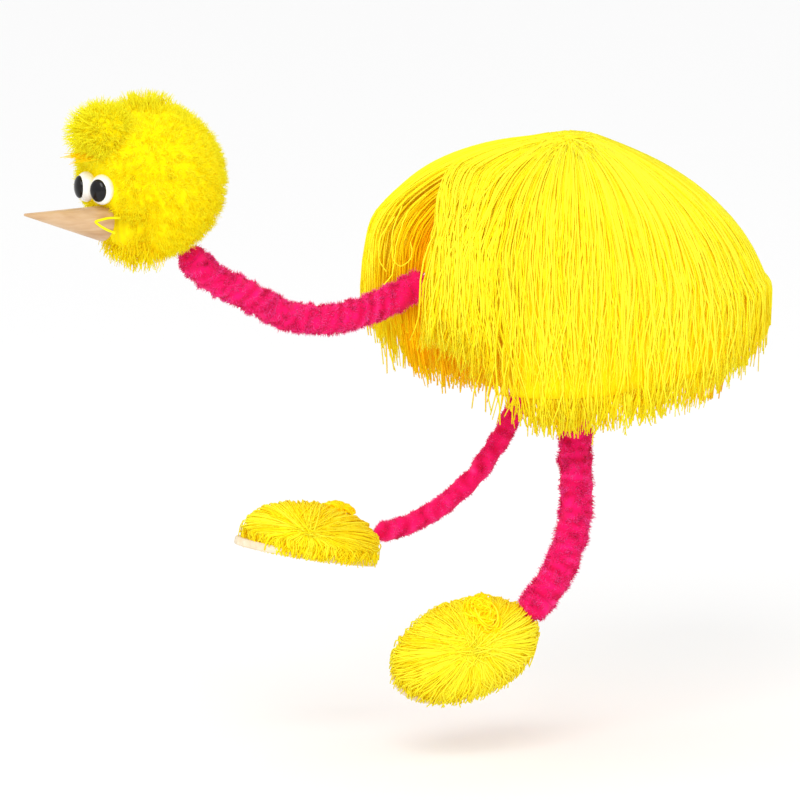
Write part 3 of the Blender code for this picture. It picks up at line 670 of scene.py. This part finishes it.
def fibres(rng, roots, normals, lengths, radius, tilts, steps, sides, curl, shades):
    """Fine tapering hairs from roots along their normals, pushed sideways by tilts and gently curled."""
    count = len(roots)
    along = np.linspace(0, 1, steps)[None, :, None]
    heading = unit(normals + tilts)[:, None]
    sideways = unit(np.cross(heading[:, 0], rng.normal(size=(count, 3))))[:, None]
    bend = curl * rng.normal(size=(count, 1, 1))
    lengths = np.broadcast_to(lengths, count)[:, None, None]
    paths = roots[:, None] + lengths * (heading * along + sideways * bend * along**2)
    radii = radius * rng.uniform(0.7, 1.25, (count, 1)) * (1 - 0.65 * along[:, :, 0] ** 2)
    return tubes(paths, radii, sides, shades)


# ---------------------------------------------------------------- head

def joint_place(child):
    for joint in frame["joints"]:
        if joint["child"] == child:
            return np.array(joint["pos_m"])


def head_matrix():
    centre = Vector(joint_place("head")) + Vector(HEAD_FROM_NECK)
    return Matrix.Translation(centre) @ Matrix.Rotation(radians(HEAD_TURN), 4, "Z")


def fluff_reach(directions):
    """How far the tips reach: less over the face, where the eyes and the beak sit."""
    off_front = np.degrees(np.arctan2(np.abs(directions[:, 1]), -directions[:, 0]))
    face = np.interp(directions[:, 2], FACE_HEIGHTS, FACE_REACH)
    return lerp(face, FLUFF_REACH, smooth(off_front, 42.0, 82.0))


def ball_radius(directions):
    """How far the dense fluff under the tips reaches."""
    bumps = 0.0007 * np.sin(directions @ (23.0, 17.0, 19.0)) * np.sin(directions @ (-13.0, 29.0, 11.0))
    return fluff_reach(directions) - (FLUFF_REACH - FLUFF_BASE) + bumps


def face_clearance(points, normals):
    """Share of full hair length near the eyes and the beak: 0 leaves them bare."""
    eyes = np.stack((
        (points[:, 0] - EYE_MIDDLE[0]) / 0.016,
        (np.abs(points[:, 1]) - 0.0055) / 0.0085,
        (points[:, 2] - EYE_MIDDLE[2]) / 0.0100,
    ))
    eyes[1] = np.maximum(eyes[1], 0)
    bare_eyes = smooth(np.sqrt((eyes**2).sum(0)), 0.85, 1.25)
    axis = unit(np.array((-cos(radians(BEAK_RISE)), 0, sin(radians(BEAK_RISE)))))
    away = points - np.array(BEAK_BASE)
    along = away @ axis
    off = np.linalg.norm(away - along[:, None] * axis, axis=1)
    in_front = points[:, 0] < -0.012
    bare_beak = np.where(in_front, smooth(off, 0.0078, 0.0115), 1.0)
    return bare_eyes * bare_beak


def make_fluff(materials, head):
    rng = np.random.default_rng(41)
    tufts = unit(fibonacci(FLUFF_TUFTS) + rng.normal(0, 0.018, (FLUFF_TUFTS, 3)))
    tuft_tilt = rng.normal(0, 0.30, (FLUFF_TUFTS, 3)) + np.array((0.0, 0.0, -0.10))
    tuft_shade = rng.normal(0, 0.07, FLUFF_TUFTS)
    owner = rng.integers(0, FLUFF_TUFTS, FLUFF_COUNT)
    directions = unit(tufts[owner] + rng.normal(0, 0.040, (FLUFF_COUNT, 3)))
    reach = ball_radius(directions)
    roots = directions * (reach - 0.0015)[:, None]
    inward = (tufts[owner] - directions) * 0.9
    clear = face_clearance(roots, directions)
    keep = clear > 0.03
    top = smooth(directions[:, 2], 0.90, 0.98)
    lengths = (fluff_reach(directions) - reach + 0.0015) * rng.uniform(0.72, 1.18, FLUFF_COUNT)
    lengths = (lengths + 0.0036 * top) * lerp(0.55, 1.0, clear)
    # Painted light and shade: fluff higher on the ball is painted lighter, as if lit from above, and each
    # hair is darker at its root than at its tip, painted shade among the hairs; the tuft and random terms are
    # tone.
    shade = 0.76 + 0.14 * directions[:, 2] + tuft_shade[owner] + rng.normal(0, 0.06, FLUFF_COUNT)
    steps = 4
    shades = shade[:, None] + np.linspace(-0.12, 0.10, steps)[None, :]
    left = directions[:, 1] < 0
    for name, side in (("head_fluff_left", left), ("head_fluff_right", ~left)):
        pick = np.nonzero(keep & side)[0]
        shape = fibres(
            rng, roots[pick], directions[pick], lengths[pick], FLUFF_RADIUS,
            tuft_tilt[owner[pick]] + inward[pick] * 3.0, steps, 3, 0.28, shades[pick],
        )
        obj = make_object(name, moved(shape, head), materials["fluff"])
        finish_piece(obj, "head", "yellow_yarn")
    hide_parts("head_pompom")
    base = globe(ball_radius, 160, 90)
    base = base[0], base[1], np.full(len(base[0]), 0.62)
    finish_piece(make_object("head_ball", moved(base, head), materials["fluff"]), "head", "yellow_yarn")


def make_forelock(materials, head):
    rng = np.random.default_rng(43)
    centre = np.array(FORELOCK_CENTRE)
    base = globe(lambda d: FORELOCK_RADIUS * (0.86 + 0.05 * np.sin(d @ (19.0, 13.0, 17.0))), 64, 36)
    base = base[0] + centre, base[1], np.full(len(base[0]), 0.62)
    count = FORELOCK_HAIRS
    tufts = unit(fibonacci(FORELOCK_TUFTS) + rng.normal(0, 0.04, (FORELOCK_TUFTS, 3)))
    tilt = rng.normal(0, 0.30, (FORELOCK_TUFTS, 3)) + np.array((-0.35, 0.0, 0.05))
    owner = rng.integers(0, FORELOCK_TUFTS, count)
    directions = unit(tufts[owner] + rng.normal(0, 0.075, (count, 3)))
    roots = centre + directions * FORELOCK_RADIUS * 0.80
    outside = np.linalg.norm(roots, axis=1) > FLUFF_BASE - 0.002
    clear = face_clearance(roots, directions)
    keep = outside & (clear > 0.5)
    lengths = rng.uniform(0.0032, 0.0075, count) * (1 + 0.30 * (directions[:, 0] < -0.5))
    # Painted light and shade: the forelock hairs are painted bright to offset the shade they sit in, and each
    # hair is darker at its root than at its tip.
    shades = (0.95 + rng.normal(0, 0.09, count))[:, None] + np.linspace(-0.12, 0.10, 4)[None, :]
    tips = fibres(
        rng, roots[keep], directions[keep], lengths[keep], FLUFF_RADIUS, tilt[owner[keep]],
        4, 3, 0.30, shades[keep],
    )
    wisp_count = FORELOCK_WISPS
    wisp_roots = centre + np.array((-0.008, 0, -0.0105))
    wisp_roots = wisp_roots + rng.normal(0, (0.002, 0.0035, 0.0009), (wisp_count, 3))
    wisp_way = np.tile((-1.0, 0.0, -0.05), (wisp_count, 1)) + rng.normal(0, 0.06, (wisp_count, 3))
    wisp = fibres(rng, wisp_roots, unit(wisp_way), rng.uniform(0.008, 0.013, wisp_count), 0.0003,
                  np.zeros((wisp_count, 3)), 5, 4, 0.10, np.full((wisp_count, 5), 0.30))
    shape = moved(joined(base, tips, wisp), head)
    finish_piece(make_object("head_forelock", shape, materials["fluff"]), "head", "yellow_yarn")


def make_chin(materials, head):
    """Longer wisps that hang under the beak, and a loop of yarn across its base."""
    rng = np.random.default_rng(47)
    count, steps = CHIN_WISPS, 6
    around = rng.uniform(-1.0, 1.0, count)
    polar = rng.uniform(0.0, 1.0, count)
    direction = unit(np.stack((lerp(-0.46, -0.08, polar), 0.50 * around, lerp(-0.74, -0.97, polar)), -1))
    roots = direction * (ball_radius(direction) + rng.uniform(-0.001, 0.004, count))[:, None]
    fall = rng.uniform(0.002, 0.0058, count)[:, None, None]
    along = np.linspace(0, 1, steps)[None, :, None]
    swing = rng.normal(0, 0.22, (count, 1, 3)) * (1, 1, 0)
    wave = 0.10 * np.sin(rng.uniform(0, tau, (count, 1, 1)) + 7 * along)
    wave = wave * rng.normal(size=(count, 1, 3)) * (1, 1, 0)
    outward = direction[:, None] * (1, 1, 0.35)
    bulge = 0.55 * outward * along * (2 - along)
    paths = roots[:, None] + fall * (bulge + (swing + wave) * along - UP * along**1.4)
    radii = 0.00030 * rng.uniform(0.7, 1.3, (count, 1)) * (1 - 0.5 * along[:, :, 0])
    # Each wisp is painted darker at its root than at its tip, painted shade under the ball; the random term
    # is tone.
    shades = rng.normal(0.62, 0.16, (count, 1)) + np.linspace(-0.15, 0.1, steps)[None, :]
    wisps = tubes(paths, radii, 3, shades)
    beak_axis = np.array((-cos(radians(BEAK_RISE)), 0, sin(radians(BEAK_RISE))))
    lift = np.array((sin(radians(BEAK_RISE)), 0, cos(radians(BEAK_RISE))))
    side = np.array((0.0, -1.0, 0.0))
    along_beak, over_beak = rounded_line(BEAK_LOOP, 48, 6).T
    loop = np.array(BEAK_BASE) + beak_axis * along_beak[:, None] + lift * over_beak[:, None]
    width = BEAK_RADIUS * (1 - (loop - np.array(BEAK_BASE)) @ beak_axis / BEAK_LENGTH)
    height = (loop - np.array(BEAK_BASE)) @ lift
    loop = loop + side * (np.sqrt(np.clip(width**2 - height**2, 0, 1)) + 0.0004)[:, None]
    loop_shape = tubes(loop[None], BEAK_LOOP_RADIUS, 8, 0.85)
    shape = moved(joined(wisps, loop_shape), head)
    finish_piece(make_object("head_chin_wisps", shape, materials["fluff"]), "head", "yellow_yarn")


def lathe(profile, sides):
    """A closed turned shape about +Z from (radius, height) pairs that start and end on the axis."""
    profile = np.array(profile)
    angles = tau * np.arange(sides) / sides
    rings = profile[1:-1]
    points = np.stack((
        np.outer(rings[:, 0], np.cos(angles)),
        np.outer(rings[:, 0], np.sin(angles)),
        np.outer(rings[:, 1], np.ones(sides)),
    ), axis=-1).reshape(-1, 3)
    points = np.concatenate((points, ((0, 0, profile[0, 1]), (0, 0, profile[-1, 1]))))
    index = np.arange(len(rings) * sides).reshape(len(rings), sides)
    beside = np.roll(index, -1, axis=1)
    walls = np.stack((index[:-1], beside[:-1], beside[1:], index[1:]), axis=-1).reshape(-1, 4)
    first, last = len(points) - 2, len(points) - 1
    caps = np.concatenate((
        np.stack((np.full(sides, first), beside[0], index[0]), axis=-1),
        np.stack((np.full(sides, last), index[-1], beside[-1]), axis=-1),
    ))
    return points, [walls, caps], np.zeros(len(points))


def make_beak(materials, head):
    turn = np.linspace(0, pi / 2, 7)
    profile = [(0.0, 0.0), (BEAK_RADIUS - 0.0006, 0.0), (BEAK_RADIUS - 0.0001, 0.0003)]
    profile += [
        (lerp(BEAK_RADIUS, BEAK_TIP_RADIUS, share), lerp(0.0008, BEAK_LENGTH - BEAK_TIP_RADIUS, share))
        for share in np.linspace(0, 1, 24)
    ]
    profile += [
        (BEAK_TIP_RADIUS * cos(angle), BEAK_LENGTH - BEAK_TIP_RADIUS * (1 - sin(angle)))
        for angle in turn[1:-1]
    ]
    profile += [(0.0, BEAK_LENGTH)]
    home = head @ Matrix.Translation(BEAK_BASE) @ Matrix.Rotation(radians(BEAK_RISE - 90), 4, "Y")
    points, faces, shades = lathe(profile, 96)
    shape = moved((points, faces, points[:, 2] / BEAK_LENGTH), home)
    finish_piece(make_object("beak_turned", shape, materials["beak"], 35.0), "head", "beak_wood", "beak")


def make_eye(materials, head, label, side):
    turn = Matrix.Rotation(radians(HEAD_TURN - side * EYE_SPLAY), 4, "Z")
    pupil_at = Matrix.Translation(middle(f"{label}_pupil")) @ turn
    points, faces, shades = globe(lambda d: np.ones(len(d)), 64, 40)
    pupil = points * PUPIL_SEMI_AXES, faces, shades
    white = points * EYE_SEMI_AXES + (PUPIL_OFFSET, 0, 0), faces, shades
    finish_piece(make_object(f"{label}_eye_dome", moved(white, pupil_at), materials["eye_white"]),
                 "head", "eye_white", f"{label}_eye_white")
    finish_piece(make_object(f"{label}_pupil_dome", moved(pupil, pupil_at), materials["eye_black"]),
                 "head", "eye_black", f"{label}_pupil")


# ---------------------------------------------------------------- plush tubes

class Chain:
    """The smooth centre line of a plush tube through its joints, with a frame at every point."""

    def __init__(self, bodies, end_child):
        knots = np.array([joint_place(body) for body in bodies] + [joint_place(end_child)])
        first, last = 2 * knots[0] - knots[1], 2 * knots[-1] - knots[-2]
        points = np.concatenate(([first], knots, [last]))
        self.count = len(bodies)
        self.samples = 60
        share = np.arange(self.samples * self.count + 1) / self.samples
        start = np.minimum(share.astype(int), self.count - 1)
        t = (share - start)[:, None]
        p0, p1, p2, p3 = (points[start + offset] for offset in range(4))
        square, cube = 2 * p0 - 5 * p1 + 4 * p2 - p3, 3 * p1 - p0 - 3 * p2 + p3
        self.line = 0.5 * (2 * p1 + (p2 - p0) * t + square * t**2 + cube * t**3)
        across, other = cross_frames(self.line[None])
        self.across, self.other = across[0], other[0]
        self.tangent = unit(np.gradient(self.line, axis=0))

    def at(self, place, angle, radius):
        """Points at a place along the chain (0 to count), an angle and a radius; and outward normals."""
        exact = np.clip(place * self.samples, 0, len(self.line) - 1.001)
        low = exact.astype(int)
        share = (exact - low)[..., None]
        across = lerp(self.across[low], self.across[low + 1], share)
        other = lerp(self.other[low], self.other[low + 1], share)
        normal = np.cos(angle)[..., None] * across + np.sin(angle)[..., None] * other
        centre = lerp(self.line[low], self.line[low + 1], share)
        return centre + normal * np.asarray(radius)[..., None], normal


def crinkle(place, angle, seed):
    """Uneven swell of a plush tube, about -1 to 1."""
    rng = np.random.default_rng(seed)
    total = 0.0
    for size in (1.0, 0.8, 0.7, 0.6, 0.5, 0.4, 0.4):
        turns = rng.integers(-3, 4)
        waves = tau * rng.uniform(0.7, 3.4) * place
        total = total + size * np.sin(waves + turns * angle + rng.uniform(0, tau))
    return total / 2.6


def make_plush(materials, label, bodies, end_child, seed, base, start, end, pile, swell):
    """One plush tube: a dense crinkled skin and its pile, in pieces cut halfway between joints, so that each
    goes round one joint.
    """
    chain = Chain(bodies, end_child)
    nodes = [f"{body}_plush" for body in bodies]
    rng = np.random.default_rng(seed)
    length = np.linalg.norm(np.diff(chain.line, axis=0), axis=1).sum()

    def skin(place, angle):
        opening = smooth(place, start - 0.02, start + 0.22)
        closing = 1 - smooth(place, end - 0.22, end + 0.02)
        round_off = np.minimum(opening, closing)
        return base * (1 + swell * crinkle(place, angle, seed)) * (0.25 + 0.75 * round_off)

    count = int(length * 1000 * tau * base * 1000 * PILE_PER_MM2)
    tuft_count = int(count / PILE_TUFT)
    tuft_place = rng.uniform(start, end, tuft_count)
    tuft_angle = rng.uniform(0, tau, tuft_count)
    owner = rng.integers(0, tuft_count, count)
    step = length / chain.count
    place = np.clip(tuft_place[owner] + rng.normal(0, PILE_TUFT_REACH / step, count), start, end)
    angle = tuft_angle[owner] + rng.normal(0, PILE_TUFT_REACH / base, count)
    root, normal = chain.at(place, angle, skin(place, angle) - 0.0003)
    lean = rng.normal(0, 0.62, (tuft_count, 3))[owner] + rng.normal(0, 0.30, (count, 3))
    # Painted shade and highlight: the pile is painted darker at its roots and lighter at its tips, and its
    # pale pink patches are part random tone and part painted highlight of crushed pile.
    shade = 0.56 + 0.24 * crinkle(place * 1.7, angle, seed + 5) + rng.normal(0, 0.18, tuft_count)[owner]
    shade = shade + rng.normal(0, 0.08, count)
    shades = shade[:, None] + np.array((-0.30, -0.02, 0.16))[None, :]
    lengths = pile * rng.uniform(0.65, 1.25, count)

    cuts = np.concatenate(([start], np.arange(1, chain.count) - 0.5, [chain.count - 0.5], [end]))
    cuts = np.unique(np.clip(cuts, start, end))
    columns = PLUSH_COLUMNS
    around = tau * np.arange(columns) / columns
    for index, (low, high) in enumerate(zip(cuts[:-1], cuts[1:])):
        rings = np.linspace(low, high, max(3, int((high - low) * RINGS_PER_SEGMENT)))
        grid_place, grid_angle = np.meshgrid(rings, around, indexing="ij")
        skin_points, _ = chain.at(grid_place, grid_angle, skin(grid_place, grid_angle))
        number = np.arange(rings.size * columns).reshape(rings.size, columns)
        beside = np.roll(number, -1, axis=1)
        walls = np.stack((number[:-1], beside[:-1], beside[1:], number[1:]), axis=-1).reshape(-1, 4)
        ends = np.stack((number[0, ::-1], number[-1]))
        # The skin under the pile is painted darker than the pile, painted shade at its roots, with the same
        # patches.
        tone = 0.34 + 0.22 * crinkle(grid_place * 1.7, grid_angle, seed + 5)
        tube = skin_points.reshape(-1, 3), [walls, ends], tone.ravel()
        mine = (place >= low) & ((place < high) | (high == cuts[-1]))
        pile_shape = fibres(
            rng, root[mine], normal[mine], lengths[mine], PILE_RADIUS, lean[mine], 3, 3, 0.35, shades[mine],
        )
        obj = make_object(f"{label}_plush_{index + 1}", joined(tube, pile_shape), materials["plush"])
        if nodes:
            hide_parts(*nodes)
            nodes = ()
        if index == 0 or high - low < SHORTEST_BEND:
            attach(obj, bodies[0] if index == 0 else bodies[-1])
        else:
            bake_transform(obj)


# ---------------------------------------------------------------- feet

def foot_matrix(side):
    pitch, roll = FOOT_TURNS[side]
    place = Matrix.Translation(joint_place(f"{side}_foot"))
    return place @ Matrix.Rotation(radians(pitch), 4, "Y") @ Matrix.Rotation(radians(roll), 4, "X")


def dome_strands(rng, count, centre, semi, pole, depths, hang, steps, bunches):
    """Strands that fan out over a dome from the pole they are tied at, then hang from its rim."""
    bearing = rng.uniform(0, tau, count)
    bunch = np.round(bearing / tau * bunches + rng.normal(0, 0.3, count)) * tau / bunches
    depth = rng.uniform(*depths, count)
    size = (1 - 0.45 * depth)[:, None] * rng.uniform(0.95, 1.04, (count, 1))
    along = np.linspace(0, 1, steps)[None, :]
    wave = rng.uniform(0, tau, (count, 1)) + tau * along * rng.uniform(0.8, 1.8, (count, 1))
    turn = bearing[:, None] + (bunch - bearing)[:, None] * 0.5 * smooth(along, 0.2, 0.9)
    turn = turn + rng.normal(0, 0.10, (count, 1)) * along**2 + 0.06 * np.sin(wave) * along
    pole = unit(np.array(pole))
    first = unit(np.cross((0.0, 1.0, 0.0), pole))
    heading = np.cos(turn)[..., None] * first + np.sin(turn)[..., None] * np.cross(pole, first)
    rim = np.arctan2(pole[2], -heading[..., 2])
    drop = rng.uniform(*hang, (count, 1))
    arc = rim * semi[0] * 0.8
    travel = along * (arc + drop)
    polar = np.minimum(travel / arc, 1.0) * rim
    spread = (np.cos(polar)[..., None] * pole + np.sin(polar)[..., None] * heading) * semi * size[..., None]
    cross = rng.normal(0, 0.0022, (count, 1, 3)) * (1 - smooth(along, 0.0, 0.35))[..., None] * (1, 1, 0.4)
    paths = np.array(centre) + spread + cross
    paths[..., 2] -= np.maximum(travel - arc, 0.0)
    # Painted shade: deeper strands are darker and more orange, and the hanging ends darker still; the bunch
    # and random terms are tone.
    shade = 0.90 - 0.60 * depth + rng.normal(0, 0.12, count) + 0.10 * np.sin(bunch * 9.7)
    return paths, shade[:, None] - 0.10 * smooth(along, 0.75, 1.0)


def curly_tuft(rng, count, place, size, shade):
    """A small knot of loosely looped strands that hides a string button."""
    steps = 16
    along = np.linspace(0, 1, steps)[None, :]
    start = rng.uniform(0, tau, (count, 1))
    spin = rng.uniform(0.5, 1.1, (count, 1)) * rng.choice((-1, 1), (count, 1)) * tau
    reach = 0.62 * rng.uniform(0.4, 1.0, (count, 1))
    angle = start + spin * along
    centre = rng.normal(0, 0.28, (count, 1, 2))
    x = centre[..., 0] + reach * np.cos(angle)
    y = centre[..., 1] + reach * np.sin(angle)
    edge = np.clip(1 - (x**2 + y**2) / 1.55, 0, 1)
    z = np.sqrt(edge) * rng.uniform(0.75, 1.0, (count, 1)) + 0.12 * np.sin(2 * angle + start)
    x, y, z = x * size[0], y * size[1], z * size[2]
    paths = np.stack((x, y, z), axis=-1) + np.array(place)
    radii = TUFT_STRAND_RADIUS * rng.uniform(0.8, 1.2, (count, 1))
    return tubes(paths, radii, 4, rng.normal(shade, 0.20, (count, 1)))


def make_foot(materials, side):
    rng = np.random.default_rng(FOOT_SEEDS[side])
    # The foot's offset lifts the near foot and darkens the far one over strands, pad and tuft, as painted
    # light and shade.
    centre, semi, painted_light = FOOT_CENTRES[side], FOOT_SEMI_AXES[side], FOOT_PAINTED_LIGHT[side]
    shapes = []
    for count, depths, steps in FOOT_LAYERS:
        paths, shades = dome_strands(
            rng, count, centre, semi, FOOT_POLES[side], depths, FOOT_HANGS[side], steps, FOOT_BUNCHES,
        )
        radii = FOOT_STRAND_RADIUS * rng.uniform(0.75, 1.2, (count, 1))
        shapes.append(tubes(paths, radii, 3, shades + painted_light))
    pad = globe(lambda d: np.ones(len(d)), 80, 40)
    pad_points = pad[0] * np.array(semi) * 0.93 + centre
    pad_points[:, 2] = np.maximum(pad_points[:, 2], SOLE_TOP + 0.0005)
    shapes.append((pad_points, pad[1], np.full(len(pad[0]), 0.58 + painted_light)))
    shapes.append(curly_tuft(rng, TUFT_STRANDS, TUFT_PLACES[side], TUFT_SIZES[side], 0.52 + painted_light))
    shape = moved(joined(*shapes), foot_matrix(side))
    obj = make_object(f"{side}_foot_yarn", shape, materials["yarn"])
    finish_piece(obj, f"{side}_foot", "yellow_yarn", f"{side}_foot_pompom")


# ---------------------------------------------------------------- stage

def make_stage():
    """A plain pale floor, soft light from all round and the light bounces; the large soft lamp above the
    camera is added apart, by add_lamp.
    """
    scene = bpy.context.scene
    mesh = bpy.data.meshes.new("floor")
    size, level = FLOOR_HALF_SIZE, cad_low.z - FLOOR_BELOW_FEET
    corners = [(-size, -size, level), (size, -size, level), (size, size, level), (-size, size, level)]
    mesh.from_pydata(corners, [], [(0, 1, 2, 3)])
    floor = bpy.data.objects.new("floor", mesh)
    scene.collection.objects.link(floor)
    material, _, shader = start_material("floor_paint", 0.9)
    shader.inputs["Base Color"].default_value = (0.93, 0.93, 0.93, 1.0)
    mesh.materials.append(material)
    world = bpy.data.worlds.new("studio")
    scene.world = world
    world.use_nodes = True
    background = world.node_tree.nodes["Background"]
    background.inputs["Color"].default_value = (1.0, 1.0, 1.0, 1.0)
    background.inputs["Strength"].default_value = 1.0
    scene.view_settings.view_transform = "Standard"
    scene.cycles.max_bounces = LIGHT_BOUNCES
    scene.cycles.diffuse_bounces = LIGHT_BOUNCES


def add_lamp(name, place, aim, size, power):
    data = bpy.data.lights.new(name, "AREA")
    data.shape, data.size, data.energy = "DISK", size, power
    lamp = bpy.data.objects.new(name, data)
    bpy.context.scene.collection.objects.link(lamp)
    lamp.location = place
    lamp.rotation_euler = (Vector(aim) - Vector(place)).to_track_quat("-Z", "Y").to_euler()


def make_camera():
    """A long lens from the bird's left front, a little above it."""
    turn, rise = radians(CAMERA_AZIMUTH), radians(CAMERA_ELEVATION)
    back = Vector((sin(turn) * cos(rise), -cos(turn) * cos(rise), sin(rise)))
    data = bpy.data.cameras.new("camera")
    data.lens = data.sensor_width * CAMERA_DISTANCE / FRAME_WIDTH
    camera = bpy.data.objects.new("camera", data)
    bpy.context.scene.collection.objects.link(camera)
    camera.location = Vector(CAMERA_AIM) + back * CAMERA_DISTANCE
    camera.rotation_euler = (-back).to_track_quat("-Z", "Y").to_euler()
    bpy.context.scene.camera = camera


materials = make_materials()
dress_frame(materials)
make_mop(materials)
head_home = head_matrix()
make_fluff(materials, head_home)
make_forelock(materials, head_home)
make_chin(materials, head_home)
make_beak(materials, head_home)
make_eye(materials, head_home, "left", -1)
make_eye(materials, head_home, "right", 1)
for label, count, *sizes in PLUSH_TUBES:
    segments = [f"{label}_{number}" for number in range(1, count + 1)]
    make_plush(materials, label, segments, *sizes)
for side in ("left", "right"):
    make_foot(materials, side)
make_stage()
add_lamp("key", LAMP_PLACE, LAMP_AIM, LAMP_SIZE, LAMP_POWER)
make_camera()
